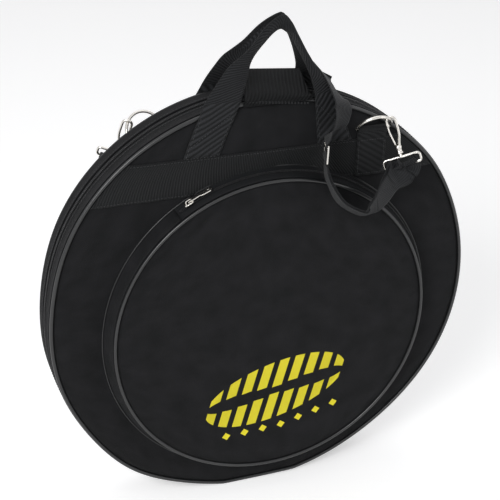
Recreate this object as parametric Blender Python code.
"""A round padded cymbal bag with a front pocket, two carrying handles and a clip-on shoulder strap.

The bag stands upright on the short flat of its bottom seam. The front faces -Y, +X is to the right
seen from the front and +Z is up. The origin is the middle of the flat that it stands on. All lengths
are in metres. Angles around the bag are in degrees from the top, and grow towards +X.
"""

from math import atan2, cos, degrees, pi, radians, sin, sqrt

import bmesh
import bpy
from mathutils import Matrix, Vector

# The case
GUSSET_RADIUS = 0.284
CASE_DEPTH = 0.059
FOOT_SAG = 0.0045
FABRIC = 0.0012
GUSSET_CLOTH = 0.0015
FOAM = 0.005
LINING = 0.0008
SEAM_GAP = 0.0003
CIRCLE_STEP = 5

# The cord sewn into the two rims
PIPING_RADIUS = 0.0025
PIPING_PROUD = 0.0015

# The main zip, in the middle of the gusset
ZIP_END_ANGLE = 120
ZIP_WINDOW = 0.016
ZIP_TAPE_WIDTH = 0.0114
ZIP_TAPE = 0.0008
COIL_WIDTH = 0.0021
COIL_HEIGHT = 0.0020
ZIP_STOP_LENGTH = 0.006
ZIP_STOP_WIDTH = 0.0076
ZIP_STOP_HEIGHT = 0.0016
MAIN_SLIDER_ANGLES = (96, 104)

# Zip sliders and their pulls
SLIDER_LENGTH = 0.0130
SLIDER_NOSE_WIDTH = 0.0104
SLIDER_TAIL_WIDTH = 0.0084
SLIDER_PLATE = 0.0014
SLIDER_FLANGE = 0.0009
SLIDER_RUN_GAP = 0.0006
BRIDGE_WIDTH = 0.0024
BRIDGE_BAR = 0.0011
BRIDGE_INSIDE = 0.0026
BRIDGE_LENGTH = 0.0092
PULL_THICKNESS = 0.0012
PULL_LENGTH = 0.0330
PULL_NECK_WIDTH = 0.0062
PULL_END_WIDTH = 0.0084
PULL_WINDOW_LENGTH = 0.0042
PULL_WINDOW_WIDTH = 0.0034
PULL_HOLE_RADIUS = 0.0016
PULL_BAR = 0.0014

# Padded dividers inside the case
DIVIDER_ROOM = 0.034
DIVIDER_THICKNESS = 0.004
DIVIDER_PLACE = 0.0078

# The round pocket on the front
POCKET_RADIUS_SHARE = 0.7465
POCKET_X = 0.006
POCKET_DROP = 0.029
POCKET_DEPTH = 0.0235
POCKET_CLOTH = 0.0012
POCKET_FLARE_SHARE = 0.042
POCKET_PIPING_RADIUS = 0.0022
POCKET_ZIP_START = -35
POCKET_ZIP_END = 85
POCKET_TAPE = 0.0008
POCKET_COIL_WIDTH = 0.0017
POCKET_COIL_HEIGHT = 0.0016
POCKET_SLIDER_ANGLE = -30
POCKET_PULL_SWING = -5

# Webbing sewn on the two panels
BAND_WIDTH = 0.050
BAND_HEIGHT_SHARE = 0.581
WEBBING = 0.0016
TAB_WIDTH = 0.040
TAB_X_SHARE = 0.4824
TAB_OVERLAP = 0.009
TAB_TAIL = 0.002

# Handles
HANDLE_THICKNESS = 0.0024
HANDLE_SPAN = 0.150
HANDLE_X = 0.005
HANDLE_STEP_DROP = 0.034
HANDLE_STEP = 0.010
HANDLE_CLEAR = 0.0008
HANDLE_RISE = 0.0942
HANDLE_GAP = 0.009

# The strip of webbing over the zip between the handles
FLAP_LENGTH = 0.088
FLAP_X = 0.011
FLAP_HANG = 0.004
FLAP_CLEAR = 0.0012
FLAP_REACH = 0.046
FLAP_SLOPE = 24

# D-rings
RING_WIRE = 0.002
RING_WIDTH = 0.0464
RING_DEPTH = 0.027
RING_CORNER = 0.004
RING_LEAN = 40
RING_CLEAR = 0.0004
TAB_LOOP = 0.0014

# Snap hooks with a swivelling eye
HOOK_CONTACT_SHARE = 0.86
HOOK_WIRE = 0.00175
HOOK_BEND = 0.0068
HOOK_LOOP_LENGTH = 0.033
HOOK_NOSE_LENGTH = 0.006
HOOK_CLEAR = 0.0007
BARREL_RADIUS = 0.0042
BARREL_WAIST = 0.0034
BARREL_LENGTH = 0.0100
SWIVEL_RADIUS = 0.0018
SWIVEL_CLEAR = 0.00015
SWIVEL_SOCKET = 0.006
GATE_WIRE = 0.0013
EYE_WIRE = 0.00175
EYE_WIDTH = 0.0465
EYE_HEIGHT = 0.0110
EYE_CORNER = 0.0034
EYE_DROP = 0.0045
HOOK_HANG_SHARES = (0.22, -0.32, -0.92)

# The shoulder strap and its adjuster
STRAP_WIDTH = 0.038
STRAP_THICKNESS = 0.0012
STRAP_LAYER_GAP = 0.0066
STRAP_CLOSE_GAP = 0.0032
STRAP_LEAVE = 0.009
ADJUSTER_WIDTH = 0.0455
ADJUSTER_HEIGHT = 0.0240
ADJUSTER_BAR = 0.0030
ADJUSTER_PLATE = 0.0020
ADJUSTER_CORNER = 0.0030
ADJUSTER_WEAVE = 0.0022
ADJUSTER_PLACE_SHARES = (0.232, 0.760)
ADJUSTER_STANDOFF = 0.0283
ADJUSTER_UP_SHARES = (0.08, 0.10, 0.99)
ADJUSTER_ACROSS_SHARES = (0.30, 0.93, -0.22)

# Worked-out places
HALF_DEPTH = CASE_DEPTH / 2
CENTRE_Z = GUSSET_RADIUS - FOOT_SAG
POCKET_RADIUS = GUSSET_RADIUS * POCKET_RADIUS_SHARE
DIVIDER_RADIUS = GUSSET_RADIUS - DIVIDER_ROOM
TAB_X = GUSSET_RADIUS * TAB_X_SHARE
PIPING_INSET = PIPING_RADIUS + SEAM_GAP
PANEL_INSET = PIPING_INSET + PIPING_RADIUS + SEAM_GAP
PIPING_Y = HALF_DEPTH + PIPING_PROUD - PIPING_RADIUS
GUSSET_EDGE = PIPING_Y - PIPING_RADIUS - SEAM_GAP
INNER_FACE = HALF_DEPTH - FABRIC - FOAM - LINING - 2 * SEAM_GAP
GUSSET_INSIDE = GUSSET_RADIUS - GUSSET_CLOTH
TAPE_TOP = GUSSET_INSIDE - SEAM_GAP
COIL_FOOT = TAPE_TOP + SEAM_GAP
COIL_TOP = COIL_FOOT + COIL_HEIGHT
BAND_HEIGHT_ABOVE_CENTRE = GUSSET_RADIUS * BAND_HEIGHT_SHARE
BAND_LOW = CENTRE_Z + BAND_HEIGHT_ABOVE_CENTRE
BAND_TOP = BAND_LOW + BAND_WIDTH
BAND_FACE = HALF_DEPTH + SEAM_GAP + WEBBING
POCKET_Z = CENTRE_Z - POCKET_DROP
POCKET_FRONT = HALF_DEPTH + POCKET_DEPTH
POCKET_PIPING_Y = POCKET_FRONT - POCKET_PIPING_RADIUS + PIPING_PROUD
POCKET_EDGE = POCKET_PIPING_Y - POCKET_PIPING_RADIUS - SEAM_GAP
POCKET_ZIP_Y = (HALF_DEPTH + POCKET_EDGE) / 2
HANDLE_FACE = PIPING_Y + PIPING_RADIUS + SEAM_GAP + HANDLE_THICKNESS / 2
HANDLE_HINGE_Z = CENTRE_Z + GUSSET_RADIUS + HANDLE_CLEAR
HANDLE_STEP_Z = CENTRE_Z + GUSSET_RADIUS - HANDLE_STEP_DROP
TAB_FACE = BAND_FACE + SEAM_GAP + WEBBING
RING_AXIS_Y = HALF_DEPTH + SEAM_GAP + RING_WIRE + RING_CLEAR + TAB_LOOP
RING_AXIS_Z = BAND_TOP + RING_WIRE + RING_CLEAR + TAB_LOOP + TAB_OVERLAP

# How far each piece of the outline runs past what it is cut from
OVERRUN = 0.004

BLACK = (0.012, 0.012, 0.013)
SOFT_BLACK = (0.018, 0.018, 0.019)
LINING_GREY = (0.035, 0.035, 0.038)
NICKEL = (0.62, 0.61, 0.58)


def clear_scene():
    """Remove whatever the file opens with."""
    for thing in list(bpy.data.objects):
        bpy.data.objects.remove(thing)


def material(name, colour, roughness, metallic=0.0):
    """A Principled material with one plain colour."""
    made = bpy.data.materials.get(name) or bpy.data.materials.new(name)
    made.use_nodes = True
    shader = made.node_tree.nodes["Principled BSDF"]
    shader.inputs["Base Color"].default_value = (*colour, 1)
    shader.inputs["Roughness"].default_value = roughness
    shader.inputs["Metallic"].default_value = metallic
    return made


def canvas():
    return material("black_canvas", BLACK, 0.85)


def webbing_black():
    return material("black_webbing", SOFT_BLACK, 0.7)


def foam_grey():
    return material("grey_foam", LINING_GREY, 0.9)


def lining_cloth():
    return material("lining_cloth", LINING_GREY, 0.6)


def vinyl():
    return material("piping_vinyl", BLACK, 0.35)


def coil_nylon():
    return material("coil_nylon", BLACK, 0.4)


def nickel():
    return material("nickel_plate", NICKEL, 0.22, 1.0)


def finish(name, shape, look, pivot=(0, 0, 0), smooth=False):
    """Turn a bmesh into a named object whose origin is its pivot."""
    bmesh.ops.recalc_face_normals(shape, faces=shape.faces)
    bmesh.ops.translate(shape, verts=shape.verts, vec=-Vector(pivot))
    mesh = bpy.data.meshes.new(name)
    shape.to_mesh(mesh)
    shape.free()
    mesh.materials.append(look)
    thing = bpy.data.objects.new(name, mesh)
    bpy.context.scene.collection.objects.link(thing)
    thing.location = pivot
    if smooth:
        mesh.shade_smooth()
        mesh.set_sharp_from_angle(angle=radians(CIRCLE_STEP * 8))
    return thing


def turned(shape, is_back):
    """The back of the bag is the front turned half round about Z."""
    if is_back:
        bmesh.ops.rotate(shape, verts=shape.verts, cent=(0, 0, 0), matrix=Matrix.Rotation(pi, 3, "Z"))
    return shape


def turned_point(point, is_back):
    """A place on the front, or the same place on the back."""
    x, y, z = point
    return Vector((-x, -y, z)) if is_back else Vector(point)


def moved(shape, matrix):
    """Place a shape that was made about the origin."""
    bmesh.ops.transform(shape, matrix=matrix, verts=shape.verts)
    return shape


def axes_at(origin, x_axis, z_axis):
    """A placing matrix from an origin, an x direction and a rough z direction."""
    x_dir = Vector(x_axis).normalized()
    y_dir = Vector(z_axis).cross(x_dir).normalized()
    z_dir = x_dir.cross(y_dir)
    placed = Matrix((x_dir, y_dir, z_dir)).transposed().to_4x4()
    placed.translation = Vector(origin)
    return placed


def prism(outline, low, high, plane="XZ"):
    """Extrude a flat outline. Its plane is XZ, pushed along Y, YZ, pushed along X, or XY, along Z."""
    places = {
        "XZ": lambda u, v: (u, low, v),
        "YZ": lambda u, v: (low, u, v),
        "XY": lambda u, v: (u, v, low),
    }
    pushes = {"XZ": (0, high - low, 0), "YZ": (high - low, 0, 0), "XY": (0, 0, high - low)}
    shape = bmesh.new()
    corners = [shape.verts.new(places[plane](u, v)) for u, v in outline]
    face = shape.faces.new(corners)
    grown = bmesh.ops.extrude_face_region(shape, geom=[face])
    top = [item for item in grown["geom"] if isinstance(item, bmesh.types.BMVert)]
    bmesh.ops.translate(shape, verts=top, vec=pushes[plane])
    bmesh.ops.recalc_face_normals(shape, faces=shape.faces)
    return shape


def rounded_box_outline(width, height, corner, steps=3):
    """The outline of a rectangle about the origin, with round corners."""
    points = []
    for right, up, start in ((1, 1, 0), (-1, 1, 90), (-1, -1, 180), (1, -1, 270)):
        for step in range(steps + 1):
            turn = radians(start + 90 * step / steps)
            u = right * (width / 2 - corner) + corner * cos(turn)
            v = up * (height / 2 - corner) + corner * sin(turn)
            points.append((u, v))
    return points


def arc(radius, start, end, centre=(0, 0), floor=None):
    """Points along an arc about a centre, measured from the top. None lies below the floor."""
    stations = [start]
    station = (int(start // CIRCLE_STEP) + 1) * CIRCLE_STEP
    while station < end - CIRCLE_STEP / 5:
        if station > start + CIRCLE_STEP / 5:
            stations.append(station)
        station += CIRCLE_STEP
    stations.append(end)
    points = []
    for angle in stations:
        turn = radians(angle)
        u = centre[0] + radius * sin(turn)
        v = centre[1] + radius * cos(turn)
        points.append((u, v if floor is None else max(v, floor)))
    return points


def case_arc(inset, start, end):
    """Part of the case's outline, drawn in by an inset. It is flat where the bag stands."""
    return arc(GUSSET_RADIUS - inset, start, end, (0, CENTRE_Z), inset)


def case_disc(inset, low, high):
    """A round plate of the case's outline, drawn in by an inset."""
    return prism(case_arc(inset, 0, 360)[:-1], low, high)


def case_band(outer, inner, start, end, low, high):
    """Part of a ring round the case, between two insets."""
    return prism(case_arc(outer, start, end) + case_arc(inner, start, end)[::-1], low, high)


def pocket_band(outer, inner, start, end, low, high):
    """Part of a ring round the pocket, between two radii."""
    centre = (POCKET_X, POCKET_Z)
    outline = arc(outer, start, end, centre) + arc(inner, start, end, centre)[::-1]
    return prism(outline, low, high)


def angle_of(length, radius):
    """The angle that a short length takes up on a circle."""
    return degrees(length / radius)


def swept(points, radius, closed=False, sides=6):
    """A round wire along a line of points."""
    curve = bpy.data.curves.new("wire", "CURVE")
    curve.dimensions = "3D"
    curve.bevel_depth = radius
    curve.bevel_resolution = (sides - 4) // 2
    curve.use_fill_caps = True
    spline = curve.splines.new("POLY")
    spline.points.add(len(points) - 1)
    for knot, place in zip(spline.points, points):
        knot.co = (*place, 1)
    spline.use_cyclic_u = closed
    guide = bpy.data.objects.new("wire", curve)
    bpy.context.scene.collection.objects.link(guide)
    graph = bpy.context.evaluated_depsgraph_get()
    mesh = bpy.data.meshes.new_from_object(guide.evaluated_get(graph))
    shape = bmesh.new()
    shape.from_mesh(mesh)
    bmesh.ops.remove_doubles(shape, verts=shape.verts, dist=SEAM_GAP / 10)
    bmesh.ops.recalc_face_normals(shape, faces=shape.faces)
    bpy.data.objects.remove(guide)
    bpy.data.meshes.remove(mesh)
    return shape


def boolean(shape, tools, operation):
    """Unite a shape with others, or cut them from it, and return the result."""
    made = []
    for part in (shape, *tools):
        mesh = bpy.data.meshes.new("blank")
        part.to_mesh(mesh)
        part.free()
        blank = bpy.data.objects.new("blank", mesh)
        bpy.context.scene.collection.objects.link(blank)
        made.append(blank)
    for tool in made[1:]:
        step = made[0].modifiers.new("join", "BOOLEAN")
        step.operation = operation
        step.solver = "EXACT"
        step.object = tool
    graph = bpy.context.evaluated_depsgraph_get()
    mesh = bpy.data.meshes.new_from_object(made[0].evaluated_get(graph))
    result = bmesh.new()
    result.from_mesh(mesh)
    for blank in made:
        bpy.data.objects.remove(blank)
    return result


def block(x_range, y_range, z_range):
    """A plain box between three pairs of limits."""
    outline = [(x, y) for x, y in (
        (x_range[0], y_range[0]),
        (x_range[1], y_range[0]),
        (x_range[1], y_range[1]),
        (x_range[0], y_range[1]),
    )]
    return prism(outline, z_range[0], z_range[1], "XY")


def turned_profile(profile, steps=14):
    """Spin a profile of (radius, height) points about Z into a closed body."""
    shape = bmesh.new()
    verts = [shape.verts.new((radius, 0, height)) for radius, height in profile]
    edges = [shape.edges.new(pair) for pair in zip(verts, verts[1:])]
    bmesh.ops.spin(
        shape, geom=verts + edges, cent=(0, 0, 0), axis=(0, 0, 1), dvec=(0, 0, 0),
        angle=2 * pi, steps=steps, use_merge=True,
    )
    bmesh.ops.remove_doubles(shape, verts=shape.verts, dist=SEAM_GAP / 10)
    bmesh.ops.recalc_face_normals(shape, faces=shape.faces)
    return shape


def smooth_route(knots, pieces):
    """Values read at even steps from a smooth curve through the knots, ends included."""
    count = len(knots)
    values = []
    for index in range(count - 1):
        before = knots[max(index - 1, 0)]
        start, end = knots[index], knots[index + 1]
        after = knots[min(index + 2, count - 1)]
        for step in range(pieces):
            t = step / pieces
            values.append([
                0.5 * (2 * b + (c - a) * t + (2 * a - 5 * b + 4 * c - d) * t * t + (3 * b - a - 3 * c + d) * t ** 3)
                for a, b, c, d in zip(before, start, end, after)
            ])
    values.append(list(knots[-1]))
    return values


def ribbon(places, across, width, thickness):
    """A flat strip along a line of places. Across says which way its width runs at each."""
    shape = bmesh.new()
    rings = []
    for index, place in enumerate(places):
        ahead = places[min(index + 1, len(places) - 1)] - places[max(index - 1, 0)]
        side = across[index].normalized() * width / 2
        face = ahead.cross(side).normalized() * thickness / 2
        corners = (side + face, side - face, -side - face, -side + face)
        rings.append([shape.verts.new(place + corner) for corner in corners])
    for first, second in zip(rings, rings[1:]):
        for index in range(4):
            following = (index + 1) % 4
            shape.faces.new((first[index], first[following], second[following], second[index]))
    shape.faces.new(rings[0])
    shape.faces.new(rings[-1][::-1])
    bmesh.ops.recalc_face_normals(shape, faces=shape.faces)
    return shape


def side_name(is_back):
    return "back" if is_back else "front"


def make_panel(is_back):
    """One face of the case: outer cloth, foam, lining and the cord round its rim."""
    side = side_name(is_back)
    layers = (
        ("panel", FABRIC, canvas()),
        ("foam", FOAM, foam_grey()),
        ("lining", LINING, lining_cloth()),
    )
    face = -HALF_DEPTH
    for layer, thickness, look in layers:
        shape = case_disc(PANEL_INSET, face, face + thickness)
        finish(f"{side}_{layer}", turned(shape, is_back), look)
        face += thickness + SEAM_GAP
    rim = [(x, -PIPING_Y, z) for x, z in case_arc(PIPING_INSET, 0, 360)[:-1]]
    shape = swept(rim, PIPING_RADIUS, closed=True)
    finish(f"{side}_piping", turned(shape, is_back), vinyl(), smooth=True)


def make_gusset_half(is_back):
    """The half of the gusset on one side of the zip, with its zip tape and its row of coils."""
    side = side_name(is_back)
    trim = angle_of(SEAM_GAP, GUSSET_RADIUS)
    end = ZIP_END_ANGLE - trim
    cloth = case_band(0, GUSSET_CLOTH, -end, end, -GUSSET_EDGE, -ZIP_WINDOW / 2)
    finish(f"{side}_gusset", turned(cloth, is_back), canvas())
    tape_inset = GUSSET_RADIUS - TAPE_TOP
    tape = case_band(tape_inset, tape_inset + ZIP_TAPE, -end, end, -SEAM_GAP - ZIP_TAPE_WIDTH, -SEAM_GAP)
    finish(f"zip_tape_{side}", turned(tape, is_back), webbing_black())
    stop = angle_of(ZIP_STOP_LENGTH + SEAM_GAP, GUSSET_RADIUS)
    foot_inset = GUSSET_RADIUS - COIL_FOOT - SEAM_GAP
    coil = case_band(
        GUSSET_RADIUS - COIL_TOP, foot_inset, stop - end, end - stop,
        -SEAM_GAP - COIL_WIDTH, -SEAM_GAP,
    )
    finish(f"zip_coil_{side}", turned(coil, is_back), coil_nylon())


def make_hinge_gusset():
    """The whole gusset below the zip, which the lid folds on and the bag stands on."""
    trim = angle_of(SEAM_GAP, GUSSET_RADIUS)
    shape = case_band(
        0, GUSSET_CLOTH, ZIP_END_ANGLE + trim, 360 - ZIP_END_ANGLE - trim, -GUSSET_EDGE, GUSSET_EDGE
    )
    finish("hinge_gusset", shape, canvas())


def make_zip_stops():
    """The sewn stop at each end of the main zip, on the back half's tape."""
    for name, sign in (("zip_stop_left", -1), ("zip_stop_right", 1)):
        far = ZIP_END_ANGLE - angle_of(SEAM_GAP, GUSSET_RADIUS)
        near = far - angle_of(ZIP_STOP_LENGTH, GUSSET_RADIUS)
        low = GUSSET_RADIUS - COIL_FOOT - SEAM_GAP
        shape = case_band(
            low - ZIP_STOP_HEIGHT, low, min(sign * near, sign * far), max(sign * near, sign * far),
            SEAM_GAP, SEAM_GAP + ZIP_STOP_WIDTH / 2,
        )
        finish(name, shape, nickel())


def make_dividers():
    """Two padded dividers sewn in along the bottom, which part the cymbals."""
    floor = GUSSET_CLOTH + SEAM_GAP
    centre = (0, floor + DIVIDER_RADIUS - FOOT_SAG)
    outline = arc(DIVIDER_RADIUS, 0, 360, centre, floor)[:-1]
    for name, place in (("divider_front", -DIVIDER_PLACE), ("divider_back", DIVIDER_PLACE)):
        shape = prism(outline, place - DIVIDER_THICKNESS / 2, place + DIVIDER_THICKNESS / 2)
        finish(name, shape, lining_cloth(), (0, place - DIVIDER_THICKNESS / 2, floor))


def make_band(is_back):
    """The wide band of webbing sewn across a panel, with its ends cut to the rim."""
    radius = GUSSET_RADIUS - PANEL_INSET
    low, high = BAND_HEIGHT_ABOVE_CENTRE, BAND_HEIGHT_ABOVE_CENTRE + BAND_WIDTH
    start = degrees(atan2(sqrt(radius ** 2 - high ** 2), high))
    end = degrees(atan2(sqrt(radius ** 2 - low ** 2), low))
    right = arc(radius, start, end, (0, CENTRE_Z))
    left = arc(radius, -end, -start, (0, CENTRE_Z))
    shape = prism(right + left, -BAND_FACE, -HALF_DEPTH - SEAM_GAP)
    finish(f"{side_name(is_back)}_band", turned(shape, is_back), webbing_black())


# The feet of a handle: the limits of each along the bag at its lower and at its upper end, from the
# middle of the handle, as shares of half its span.
HANDLE_FOOT_SHARES = (
    ("left", -1.52, -0.907, -1.187, -0.567),
    ("right", 0.80, 1.413, 0.716, 1.06),
)


def make_handle_feet(is_back):
    """The sewn feet of a handle: webbing that lies on the panel and steps out over the rim's cord."""
    facing = 1 if is_back else -1
    low, top = BAND_TOP + SEAM_GAP, HANDLE_HINGE_Z - SEAM_GAP / 2
    step_low, step_top = HANDLE_STEP_Z, HANDLE_STEP_Z + HANDLE_STEP
    near, far = HALF_DEPTH + SEAM_GAP, HANDLE_FACE - HANDLE_THICKNESS / 2
    line = [(near, low), (near, step_low), (far, step_top), (far, top)]
    profile = [(facing * y, z) for y, z in line]
    profile += [(facing * (y + HANDLE_THICKNESS), z) for y, z in line[::-1]]
    for side, low_start, low_end, top_start, top_end in HANDLE_FOOT_SHARES:
        shape = prism(profile, 0, HANDLE_SPAN, "YZ")
        for vert in shape.verts:
            share = (vert.co.z - low) / (top - low)
            start = low_start + (top_start - low_start) * share
            end = low_end + (top_end - low_end) * share
            reach = start if vert.co.x < HANDLE_SPAN / 2 else end
            vert.co.x = HANDLE_X + reach * HANDLE_SPAN / 2
        finish(f"{side_name(is_back)}_handle_foot_{side}", shape, webbing_black())


# The outline of a handle between its feet: shares of half its span and of its rise. The web is wide
# at the feet and folds to half its width on the way up to a sharp crease.
HANDLE_OUTER_SHARES = (
    (-1.187, 0.00),
    (-1.03, 0.16),
    (-0.73, 0.43),
    (-0.51, 0.55),
    (-0.29, 0.69),
    (-0.11, 0.86),
    (0.09, 0.97),
    (0.27, 1.00),
    (0.39, 0.90),
    (0.48, 0.76),
    (0.65, 0.51),
    (0.85, 0.23),
    (1.06, 0.00),
)
HANDLE_INNER_SHARES = (
    (0.716, 0.00),
    (0.70, 0.12),
    (0.67, 0.25),
    (0.57, 0.45),
    (0.41, 0.74),
    (0.31, 0.81),
    (0.21, 0.81),
    (0.00, 0.71),
    (-0.20, 0.60),
    (-0.32, 0.48),
    (-0.39, 0.29),
    (-0.567, 0.00),
)


def make_handle(is_back):
    """A carrying handle: webbing that leans in from its feet to meet the other handle."""
    facing = 1 if is_back else -1
    lean_in = HANDLE_FACE - HANDLE_GAP / 2
    up = Vector((0, -facing * lean_in, HANDLE_RISE)).normalized()
    slope = Vector((0, lean_in, HANDLE_RISE)).length
    outline = []
    for across, rise in HANDLE_OUTER_SHARES + HANDLE_INNER_SHARES:
        outline.append((HANDLE_X + across * HANDLE_SPAN / 2, SEAM_GAP * 2 + rise * slope))
    shape = prism(outline, -HANDLE_THICKNESS / 2, HANDLE_THICKNESS / 2, "XY")
    foot = Vector((0, facing * HANDLE_FACE, HANDLE_HINGE_Z))
    shape = moved(shape, axes_at(foot, (1, 0, 0), Vector((1, 0, 0)).cross(up)))
    pivot = foot + Vector((0, facing * HANDLE_THICKNESS / 2, 0))
    finish(f"{side_name(is_back)}_handle", shape, webbing_black(), pivot)


def make_top_flap():
    """The strip of webbing sewn to the front rim, which leans back over the zip."""
    face = PIPING_Y + PIPING_RADIUS + SEAM_GAP
    crest = CENTRE_Z + GUSSET_RADIUS + FLAP_CLEAR
    lower = CENTRE_Z + GUSSET_RADIUS - PIPING_INSET - FLAP_HANG
    lift = Vector((cos(radians(FLAP_SLOPE)), sin(radians(FLAP_SLOPE))))
    under = Vector((lift.y, -lift.x)) * WEBBING
    bend = Vector((-face - WEBBING * 0.3, crest))
    outside = [(-face - WEBBING, lower), (-face - WEBBING, crest - WEBBING), bend, bend + lift * FLAP_REACH]
    inside = [bend + lift * FLAP_REACH + under, (-face, crest - WEBBING * 0.96), (-face, lower)]
    shape = prism(outside + inside, FLAP_X - FLAP_LENGTH / 2, FLAP_X + FLAP_LENGTH / 2, "YZ")
    finish("top_flap", shape, webbing_black())


def make_ring_tab(is_back):
    """The webbing tab that holds a D-ring: a strip down over the band with a loop round the bar."""
    loop = RING_WIRE + RING_CLEAR + TAB_LOOP
    pocket_reach = POCKET_RADIUS * (1 + POCKET_FLARE_SHARE)
    strip_low = POCKET_Z + sqrt(pocket_reach ** 2 - (TAB_X - TAB_WIDTH / 2 - POCKET_X) ** 2) + TAB_TAIL
    strip = block(
        (TAB_X - TAB_WIDTH / 2, TAB_X + TAB_WIDTH / 2),
        (-TAB_FACE, -TAB_FACE + WEBBING),
        (strip_low, RING_AXIS_Z),
    )
    eye = prism(
        arc(loop, 0, 360, (-RING_AXIS_Y, RING_AXIS_Z))[:-1:4],
        TAB_X - TAB_WIDTH / 2, TAB_X + TAB_WIDTH / 2, "YZ",
    )
    hole = prism(
        arc(RING_WIRE + RING_CLEAR, 0, 360, (-RING_AXIS_Y, RING_AXIS_Z))[:-1:4],
        TAB_X - TAB_WIDTH / 2 - OVERRUN, TAB_X + TAB_WIDTH / 2 + OVERRUN, "YZ",
    )
    shape = boolean(boolean(strip, [eye], "UNION"), [hole], "DIFFERENCE")
    finish(f"{side_name(is_back)}_ring_tab", turned(shape, is_back), webbing_black())


def ring_out():
    """The way that a D-ring's round side points, leaning out from the panel."""
    return Vector((0, -sin(radians(RING_LEAN)), cos(radians(RING_LEAN))))


def ring_centre():
    """The middle of a D-ring's straight bar, on the front."""
    return Vector((TAB_X, -RING_AXIS_Y, RING_AXIS_Z))


def ring_contact():
    """Where the hook hangs: the place on the ring's wire, and the way that the wire runs there."""
    half = RING_WIDTH / 2
    share = HOOK_CONTACT_SHARE
    rise = RING_DEPTH * sqrt(1 - share ** 2)
    place = ring_centre() + Vector((half * share, 0, 0)) + ring_out() * rise
    run = Vector((-half * sqrt(1 - share ** 2), 0, 0)) + ring_out() * RING_DEPTH * share
    return place, run.normalized()


def make_ring(is_back):
    """A D-ring: a straight bar in the tab's loop and a round bow."""
    half = RING_WIDTH / 2
    outline = []
    for step in range(17):
        turn = pi * step / 16
        outline.append((half * cos(turn), RING_DEPTH * sin(turn)))
    flat = [(-half + RING_CORNER, -RING_WIRE / 4), (half - RING_CORNER, -RING_WIRE / 4)]
    outline[0] = (half, RING_CORNER)
    outline[-1] = (-half, RING_CORNER)
    flat = [(-half + RING_CORNER / 4, RING_CORNER / 4), (-half + RING_CORNER, 0), (half - RING_CORNER, 0),
            (half - RING_CORNER / 4, RING_CORNER / 4)]
    out = ring_out()
    centre = ring_centre()
    points = [centre + Vector((u, 0, 0)) + out * v for u, v in outline + flat]
    shape = swept(points, RING_WIRE, closed=True, sides=8)
    pivot = turned_point(centre, is_back)
    finish(f"{side_name(is_back)}_ring", turned(shape, is_back), nickel(), pivot, smooth=True)


def hook_frame():
    """The placing of a hook: its origin is the wire that it hangs on and -Z runs down its length."""
    hang = Vector(HOOK_HANG_SHARES).normalized()
    place, run = ring_contact()
    side = hang.cross(run).normalized()
    return axes_at(place, side, -hang)


def hook_place(x, z):
    """A point in the hook's own plane, in the bag's frame."""
    return hook_frame() @ Vector((x, 0, z))


def bend_lift():
    """How far the middle of the hook's bend lies below the wire it hangs on."""
    return HOOK_BEND - HOOK_WIRE - RING_WIRE - HOOK_CLEAR


def make_hook(is_back):
    """A snap hook: a bent wire with an open side, fused to a barrel that the eye turns in."""
    low = -HOOK_LOOP_LENGTH
    drop = -bend_lift()
    waist = BARREL_WAIST / 2
    outline = [(-waist, 0, low - HOOK_WIRE), (-waist - HOOK_WIRE / 2, 0, low * 0.88),
               (-HOOK_BEND * 0.9, 0, low * 0.6), (-HOOK_BEND, 0, low * 0.3)]
    for step in range(9):
        turn = pi - pi * step / 8
        outline.append((HOOK_BEND * cos(turn), 0, drop + HOOK_BEND * sin(turn)))
    outline.append((HOOK_BEND, 0, drop - HOOK_NOSE_LENGTH))
    wire = swept(outline, HOOK_WIRE, sides=6)
    top, foot = low + BARREL_WAIST / 3, low - BARREL_LENGTH
    barrel = turned_profile([
        (0, top), (BARREL_WAIST, top), (BARREL_RADIUS, top - BARREL_WAIST / 2),
        (BARREL_RADIUS, top - BARREL_LENGTH * 0.4), (BARREL_WAIST, top - BARREL_LENGTH * 0.5),
        (BARREL_WAIST, foot + BARREL_LENGTH * 0.25), (BARREL_RADIUS, foot + BARREL_LENGTH * 0.15),
        (BARREL_RADIUS, foot), (0, foot),
    ])
    socket = turned_profile([
        (0, foot + SWIVEL_SOCKET), (SWIVEL_RADIUS + SWIVEL_CLEAR, foot + SWIVEL_SOCKET),
        (SWIVEL_RADIUS + SWIVEL_CLEAR, foot - OVERRUN), (0, foot - OVERRUN),
    ], 10)
    shape = boolean(boolean(barrel, [wire], "UNION"), [socket], "DIFFERENCE")
    shape = turned(moved(shape, hook_frame()), is_back)
    pivot = turned_point(ring_contact()[0], is_back)
    finish(f"{side_name(is_back)}_hook", shape, nickel(), pivot, smooth=True)


def gate_pivot():
    """Where the hook's gate turns, beside the top of the barrel."""
    return BARREL_WAIST * 0.75, -HOOK_LOOP_LENGTH + BARREL_WAIST / 3 + SEAM_GAP * 2


def make_gate(is_back):
    """The sprung gate that closes a hook's open side."""
    x, z = gate_pivot()
    nose = -bend_lift() - HOOK_NOSE_LENGTH - GATE_WIRE - SEAM_GAP * 2
    points = [(x, 0, z), (HOOK_BEND * 0.75, 0, z * 0.72), (HOOK_BEND * 0.98, 0, z * 0.45), (HOOK_BEND, 0, nose)]
    wire = swept(points, GATE_WIRE, sides=6)
    shape = turned(moved(wire, hook_frame()), is_back)
    pivot = turned_point(hook_place(x, z), is_back)
    finish(f"{side_name(is_back)}_gate", shape, nickel(), pivot, smooth=True)


def eye_bar_z():
    """The height of the strap's bar in the eye, in the hook's frame."""
    return -HOOK_LOOP_LENGTH - BARREL_LENGTH - EYE_DROP - EYE_HEIGHT


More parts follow.
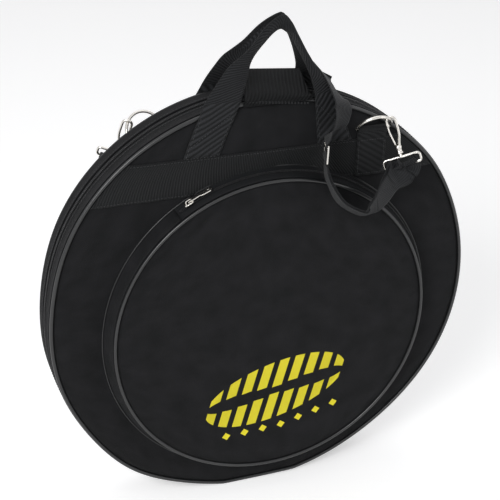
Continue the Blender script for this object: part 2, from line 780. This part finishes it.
def make_eye(is_back):
    """The eye below a hook: a long loop for the strap on a post that turns in the barrel."""
    foot = -HOOK_LOOP_LENGTH - BARREL_LENGTH
    middle = foot - EYE_DROP - EYE_HEIGHT / 2
    outline = rounded_box_outline(EYE_WIDTH, EYE_HEIGHT, EYE_CORNER)
    loop = swept([(u, 0, middle + v) for u, v in outline], EYE_WIRE, closed=True, sides=6)
    post = turned_profile([
        (0, foot + SWIVEL_SOCKET - SWIVEL_CLEAR), (SWIVEL_RADIUS, foot + SWIVEL_SOCKET - SWIVEL_CLEAR),
        (SWIVEL_RADIUS, foot - EYE_DROP), (0, foot - EYE_DROP),
    ], 10)
    shape = boolean(loop, [post], "UNION")
    shape = turned(moved(shape, hook_frame()), is_back)
    pivot = turned_point(hook_place(0, foot), is_back)
    finish(f"{side_name(is_back)}_eye", shape, nickel(), pivot, smooth=True)


def make_slider(name, pull_name, centre, rows, angle, place_y, swing):
    """A zip slider on a row of coils, with a bridge on top and a pull that hangs on it.

    The rows of coils are given as their top radius, their reach to each side and how far the
    slider's skirt comes down beside the row that stays. The pull swings out by an angle.
    """
    coil_top, coil_reach, skirt = rows
    turn = radians(angle)
    out = Vector((sin(turn), 0, cos(turn)))
    along = Vector((cos(turn), 0, -sin(turn)))
    frame = axes_at(Vector((centre[0], place_y, centre[1])) + out * coil_top, along, out)
    base = SLIDER_RUN_GAP
    top = base + SLIDER_PLATE
    half, nose, tail = SLIDER_LENGTH / 2, SLIDER_NOSE_WIDTH / 2, SLIDER_TAIL_WIDTH / 2
    shield = [(-half, -tail), (half * 0.3, -nose), (half * 0.8, -nose * 0.8), (half, -nose * 0.3),
              (half, nose * 0.3), (half * 0.8, nose * 0.8), (half * 0.3, nose), (-half, tail)]
    plate = prism(shield, base, top, "XY")
    reach = coil_reach + SLIDER_RUN_GAP
    flange = block((-half, half * 0.3), (reach, reach + SLIDER_FLANGE), (-skirt, top - SLIDER_PLATE / 3))
    arch_half = BRIDGE_LENGTH / 2
    arch_top = top + BRIDGE_INSIDE
    arch = [(-arch_half, top - SLIDER_PLATE / 2), (-arch_half, top + BRIDGE_INSIDE * 0.6),
            (-arch_half * 0.6, arch_top + BRIDGE_BAR), (arch_half * 0.6, arch_top + BRIDGE_BAR),
            (arch_half, top + BRIDGE_INSIDE * 0.6), (arch_half, top - SLIDER_PLATE / 2),
            (arch_half - BRIDGE_BAR, top - SLIDER_PLATE / 2), (arch_half - BRIDGE_BAR, top + BRIDGE_INSIDE * 0.4),
            (arch_half * 0.5, arch_top), (-arch_half * 0.5, arch_top),
            (BRIDGE_BAR - arch_half, top + BRIDGE_INSIDE * 0.4), (BRIDGE_BAR - arch_half, top - SLIDER_PLATE / 2)]
    bridge = prism(arch, -BRIDGE_WIDTH / 2, BRIDGE_WIDTH / 2)
    body = boolean(plate, [flange, bridge], "UNION")
    finish(name, moved(body, frame), nickel(), (centre[0], place_y, centre[1]))
    hang = frame @ Matrix.Translation((0, 0, top + BRIDGE_INSIDE / 2))
    make_pull(pull_name, hang @ Matrix.Rotation(radians(-swing), 4, "Y"))


def make_pull(name, frame):
    """A zip pull: a tapered plate with a window at its neck and a hole in its tail."""
    start = -PULL_BAR / 2
    neck, end = PULL_NECK_WIDTH / 2, PULL_END_WIDTH / 2
    tail = start + PULL_LENGTH
    outline = [(start, -neck), (PULL_WINDOW_LENGTH + PULL_BAR, -neck), (PULL_LENGTH * 0.45, -neck * 0.7),
               (PULL_LENGTH * 0.6, -end), (tail - end * 0.5, -end), (tail, -end * 0.4),
               (tail, end * 0.4), (tail - end * 0.5, end), (PULL_LENGTH * 0.6, end),
               (PULL_LENGTH * 0.45, neck * 0.7), (PULL_WINDOW_LENGTH + PULL_BAR, neck), (start, neck)]
    half = PULL_THICKNESS / 2
    plate = prism(outline, -half, half, "XY")
    window_start = start + PULL_BAR
    window = block(
        (window_start, window_start + PULL_WINDOW_LENGTH),
        (-PULL_WINDOW_WIDTH / 2, PULL_WINDOW_WIDTH / 2), (-OVERRUN, OVERRUN),
    )
    hole = turned_profile([
        (0, OVERRUN), (PULL_HOLE_RADIUS, OVERRUN), (PULL_HOLE_RADIUS, -OVERRUN), (0, -OVERRUN),
    ], 8)
    hole = moved(hole, Matrix.Translation((tail - end, 0, 0)))
    shape = boolean(plate, [window, hole], "DIFFERENCE")
    finish(name, moved(shape, frame), nickel(), frame.translation)


def flared(shape):
    """Widen the pocket's wall towards the panel that it is sewn to."""
    for vert in shape.verts:
        share = (vert.co.y + POCKET_EDGE) / (POCKET_EDGE - HALF_DEPTH)
        grown = 1 + POCKET_FLARE_SHARE * min(max(share, 0), 1)
        vert.co.x = POCKET_X + (vert.co.x - POCKET_X) * grown
        vert.co.z = POCKET_Z + (vert.co.z - POCKET_Z) * grown
    return shape


def make_pocket():
    """The round pocket: its wall, its face in two fields, its rim cord and the two halves of its zip."""
    outer, inner = POCKET_RADIUS, POCKET_RADIUS - POCKET_CLOTH
    trim = angle_of(SEAM_GAP, POCKET_RADIUS)
    start, end = POCKET_ZIP_START, POCKET_ZIP_END
    wall = pocket_band(outer, inner, end + trim, 360 + start - trim, -POCKET_EDGE, -HALF_DEPTH - SEAM_GAP)
    finish("pocket_gusset", flared(wall), canvas())
    tape_reach = POCKET_RADIUS - POCKET_CLOTH + POCKET_TAPE
    tape = pocket_band(tape_reach, inner, start, end, -POCKET_ZIP_Y + SEAM_GAP / 2, -HALF_DEPTH - SEAM_GAP)
    over_band = block(
        (-POCKET_RADIUS, POCKET_RADIUS), (-BAND_FACE - SEAM_GAP, OVERRUN), (BAND_LOW - SEAM_GAP, BAND_TOP),
    )
    tape = boolean(flared(tape), [over_band], "DIFFERENCE")
    finish("pocket_zip_tape_back", tape, webbing_black())
    tape = pocket_band(tape_reach, inner, start, end, -POCKET_EDGE, -POCKET_ZIP_Y - SEAM_GAP / 2)
    finish("pocket_zip_tape_front", flared(tape), webbing_black())
    foot = tape_reach + SEAM_GAP
    top = foot + POCKET_COIL_HEIGHT
    for name, sign in (("pocket_zip_coil_back", 1), ("pocket_zip_coil_front", -1)):
        near = -POCKET_ZIP_Y + sign * SEAM_GAP / 2
        far = near + sign * POCKET_COIL_WIDTH
        coil = pocket_band(top, foot, start + 1, end - 1, min(near, far), max(near, far))
        finish(name, flared(coil), coil_nylon())
    make_pocket_face()
    share = (POCKET_EDGE - POCKET_ZIP_Y) / (POCKET_EDGE - HALF_DEPTH)
    top = top * (1 + POCKET_FLARE_SHARE * share) + SEAM_GAP
    rows = (top, POCKET_COIL_WIDTH + SEAM_GAP, POCKET_COIL_HEIGHT * 0.1)
    centre = (POCKET_X, POCKET_Z)
    make_slider(
        "pocket_slider", "pocket_pull", centre, rows, POCKET_SLIDER_ANGLE, -POCKET_ZIP_Y,
        POCKET_PULL_SWING,
    )


def make_pocket_face():
    """The pocket's face and rim cord, in a field that stays and one that folds down with the zip."""
    centre = (POCKET_X, POCKET_Z)
    reach = POCKET_RADIUS - 2 * POCKET_PIPING_RADIUS - SEAM_GAP
    trim = angle_of(SEAM_GAP, POCKET_RADIUS) / 2
    back, front = -POCKET_FRONT + POCKET_CLOTH, -POCKET_FRONT
    start, end = POCKET_ZIP_START, POCKET_ZIP_END
    fields = (
        ("pocket_face_upper", "pocket_piping_upper", start + trim, end - trim),
        ("pocket_face_lower", "pocket_piping_lower", end + trim, 360 + start - trim),
    )
    for face_name, cord_name, low, high in fields:
        shape = prism(arc(reach, low, high, centre), front, back)
        finish(face_name, shape, canvas())
        line = arc(POCKET_RADIUS - POCKET_PIPING_RADIUS, low, high, centre)
        cord = swept([(x, -POCKET_PIPING_Y, z) for x, z in line], POCKET_PIPING_RADIUS, sides=6)
        finish(cord_name, cord, vinyl(), smooth=True)


def adjuster_place():
    """The adjuster's middle, the way that the strap runs up through it and the way across it."""
    x, z = ADJUSTER_PLACE_SHARES
    place = Vector((GUSSET_RADIUS * x, -HALF_DEPTH - ADJUSTER_STANDOFF, CENTRE_Z + GUSSET_RADIUS * z))
    up = Vector(ADJUSTER_UP_SHARES).normalized()
    across = Vector(ADJUSTER_ACROSS_SHARES)
    return place, up, (across - up * across.dot(up)).normalized()


def make_adjuster():
    """The sliding adjuster: a flat frame with a bar across its middle."""
    place, up, across = adjuster_place()
    outline = rounded_box_outline(ADJUSTER_WIDTH, ADJUSTER_HEIGHT, ADJUSTER_CORNER)
    half = ADJUSTER_PLATE / 2
    plate = prism(outline, -half, half, "XY")
    slot_width = ADJUSTER_WIDTH - 2 * ADJUSTER_BAR
    slots = []
    for sign in (-1, 1):
        near, far = sign * ADJUSTER_BAR / 2, sign * (ADJUSTER_HEIGHT / 2 - ADJUSTER_BAR)
        slots.append(block(
            (-slot_width / 2, slot_width / 2), (min(near, far), max(near, far)), (-OVERRUN, OVERRUN),
        ))
    shape = boolean(plate, slots, "DIFFERENCE")
    frame = axes_at(place, across, across.cross(up))
    finish("strap_adjuster", moved(shape, frame), nickel(), place)


# The strap's middle line below the front hook, as shares of the gusset radius out from the bag's
# centre and of the case depth out from its middle, with the way across the strap at each place.
SWAG_SHARES = (
    (0.538, -1.17, 0.572, 0.90, 0.30, -0.10),
    (0.492, -1.27, 0.512, 0.75, 0.55, -0.36),
    (0.440, -1.37, 0.488, 0.40, 0.88, -0.20),
    (0.384, -1.38, 0.490, 0.12, 0.99, -0.05),
    (0.302, -1.35, 0.548, 0.20, 0.97, -0.10),
    (0.262, -1.23, 0.618, 0.27, 0.95, -0.20),
    (0.240, -1.07, 0.668, 0.30, 0.93, -0.22),
)

# The strap from the adjuster up and over the top rim, in the same shares.
RISE_SHARES = (
    (0.285, -0.93, 0.870, 0.70, 0.69, -0.20),
    (0.313, -0.82, 0.914, 0.80, 0.54, -0.26),
    (0.325, -0.74, 0.952, 0.80, 0.45, -0.38),
    (0.331, -0.61, 0.982, 0.70, 0.42, -0.58),
    (0.334, -0.34, 1.005, 0.62, 0.25, -0.74),
    (0.334, 0.00, 1.019, 0.64, 0.00, -0.77),
)

# The strap from the top rim down behind the bag and up to the back hook, in the same shares.
BACK_SHARES = (
    (0.334, 0.00, 1.019, 0.64, 0.00, -0.77),
    (0.334, 0.30, 1.020, 0.66, -0.10, -0.74),
    (0.333, 0.62, 0.998, 0.76, -0.20, -0.60),
    (0.326, 0.82, 0.950, 0.90, -0.25, -0.35),
    (0.310, 0.86, 0.860, 0.94, -0.32, -0.10),
    (0.290, 0.90, 0.620, 0.86, -0.50, 0.00),
    (0.235, 0.93, 0.250, 0.60, -0.80, 0.00),
    (0.125, 0.94, -0.050, 0.30, -0.95, 0.05),
    (-0.050, 0.95, -0.190, 0.00, -0.99, 0.10),
    (-0.240, 0.95, -0.140, 0.00, -0.99, 0.05),
    (-0.400, 0.96, 0.070, 0.12, -0.99, 0.00),
    (-0.504, 0.98, 0.317, 0.45, -0.89, 0.00),
    (-0.560, 1.03, 0.493, 0.85, -0.45, -0.12),
)


def route_from_shares(shares):
    """Places and directions in metres from a table of shares."""
    knots = []
    for x, y, z, *across in shares:
        knots.append([GUSSET_RADIUS * x, CASE_DEPTH * y, CENTRE_Z + GUSSET_RADIUS * z, *across])
    return knots


def eye_knot(is_back, offset):
    """The strap at the eye's bar: a place beside the bar, and the way across the strap."""
    frame = hook_frame()
    place = frame @ Vector((0, offset, eye_bar_z()))
    across = frame.to_3x3() @ Vector((1, 0, 0))
    place, across = turned_point(place, is_back), turned_point(across, is_back)
    if across.x < 0:
        across = -across
    return [*place, *across]


def leave_knot(is_back):
    """The strap just below the eye's bar, still in line with the hook."""
    frame = hook_frame()
    place = turned_point(frame @ Vector((0, 0, eye_bar_z() - STRAP_LEAVE)), is_back)
    return [*place, *eye_knot(is_back, 0)[3:]]


def strap_line(knots, pieces):
    """Places and directions along a strap."""
    values = smooth_route(knots, pieces)
    return [Vector(value[:3]) for value in values], [Vector(value[3:]).normalized() for value in values]


def offset_line(places, across, offsets):
    """A line beside another, on the side that a strap's face looks to."""
    beside = []
    for index, place in enumerate(places):
        ahead = places[min(index + 1, len(places) - 1)] - places[max(index - 1, 0)]
        beside.append(place + ahead.cross(across[index]).normalized() * offsets[index])
    return beside


def layer_offsets(count, fading):
    """How far each layer of the doubled strap lies from its middle, going away from the eye."""
    offsets = []
    for index in range(count):
        near_eye = max(0, 1 - index / fading)
        offsets.append((STRAP_CLOSE_GAP + (STRAP_LAYER_GAP - STRAP_CLOSE_GAP) * near_eye) / 2)
    return offsets


def bar_turn(is_back, across):
    """Places round the eye's bar, from the strap's far side to its near side."""
    radius = STRAP_LAYER_GAP / 2
    frame = hook_frame()
    places = []
    for step in range(1, 6):
        turn = pi * step / 6
        place = frame @ Vector((0, -radius * cos(turn), eye_bar_z() + radius * sin(turn)))
        places.append(turned_point(place, is_back))
    return places, [across] * len(places)


def weave_past_bars(places, across):
    """Push the strap to and fro past the adjuster's three bars."""
    middle, up, _ = adjuster_place()
    reach = (ADJUSTER_HEIGHT - ADJUSTER_BAR) / 2
    woven = []
    for index, place in enumerate(places):
        along = (place - middle).dot(up)
        fade = min(1, max(0, 2.4 - abs(along) / reach))
        if (place - middle).length > ADJUSTER_HEIGHT * 1.5:
            fade = 0
        ahead = places[min(index + 1, len(places) - 1)] - places[max(index - 1, 0)]
        face = ahead.cross(across[index]).normalized()
        woven.append(place - face * ADJUSTER_WEAVE * cos(pi * along / reach) * fade)
    return woven


def make_strap_front():
    """The strap's front part: doubled below the hook, through the adjuster and over the top rim."""
    middle, up, side = adjuster_place()
    gate = up * ADJUSTER_HEIGHT * 0.6
    low_knot, mid_knot, top_knot = ([*(middle + step), *side] for step in (-gate, Vector(), gate))
    swag = [eye_knot(False, 0), leave_knot(False)] + route_from_shares(SWAG_SHARES) + [low_knot]
    places, across = strap_line(swag, 4)
    places, across = places[1:], across[1:]
    last = len(places) - 1
    offsets = layer_offsets(len(places), 10)
    far = offset_line(places, across, [-offset for offset in offsets])
    near_offsets = [offset * min(1, (last - index) / 6) for index, offset in enumerate(offsets)]
    near = offset_line(places, across, near_offsets)
    turn_places, turn_across = bar_turn(False, across[0])
    climb, climb_across = strap_line([low_knot, mid_knot, top_knot], 10)
    rise, rise_across = strap_line([mid_knot, top_knot] + route_from_shares(RISE_SHARES), 4)
    upward = near[:-1] + climb + rise[5:]
    upward_across = across[:-1] + climb_across + rise_across[5:]
    line = far[::-1] + turn_places + weave_past_bars(upward, upward_across)
    ways = across[::-1] + turn_across + upward_across
    line[-1] = line[-1] + Vector((0, -SEAM_GAP / 2, 0))
    shape = ribbon(line, ways, STRAP_WIDTH, STRAP_THICKNESS)
    finish("shoulder_strap_front", shape, webbing_black())


def make_strap_back():
    """The strap's back part: from the top rim down behind the bag and up to the back hook."""
    knots = route_from_shares(BACK_SHARES) + [leave_knot(True), eye_knot(True, 0)]
    places, across = strap_line(knots, 4)
    places, across = places[:-1], across[:-1]
    count, doubled = len(places), 10
    offsets = layer_offsets(count, doubled)[::-1]
    far = offset_line(places, across, [-offset for offset in offsets])[-doubled:]
    turn_places, turn_across = bar_turn(True, across[-1])
    eased = [
        offset * min(1, max(0, index - count + 2 * doubled) / doubled)
        for index, offset in enumerate(offsets)
    ]
    line = offset_line(places, across, eased) + turn_places[::-1] + far[::-1]
    ways = across + turn_across + across[-doubled:][::-1]
    line[0] = line[0] + Vector((0, SEAM_GAP / 2, 0))
    shape = ribbon(line, ways, STRAP_WIDTH, STRAP_THICKNESS)
    finish("shoulder_strap_back", shape, webbing_black())


def make_main_sliders():
    """The two sliders of the main zip, on the right of the bag, with their pulls hanging down."""
    rows = (COIL_TOP, COIL_WIDTH + SEAM_GAP, COIL_HEIGHT * 0.7)
    for level, angle in zip(("upper", "lower"), MAIN_SLIDER_ANGLES):
        hanging = angle - 90
        make_slider(f"main_slider_{level}", f"main_pull_{level}", (0, CENTRE_Z), rows, angle, 0, hanging)


def make_bag():
    clear_scene()
    for is_back in (False, True):
        make_panel(is_back)
        make_gusset_half(is_back)
        make_band(is_back)
        make_handle_feet(is_back)
        make_handle(is_back)
        make_ring_tab(is_back)
        make_ring(is_back)
        make_hook(is_back)
        make_gate(is_back)
        make_eye(is_back)
    make_hinge_gusset()
    make_zip_stops()
    make_dividers()
    make_top_flap()
    make_main_sliders()
    make_pocket()
    make_adjuster()
    make_strap_front()
    make_strap_back()


make_bag()
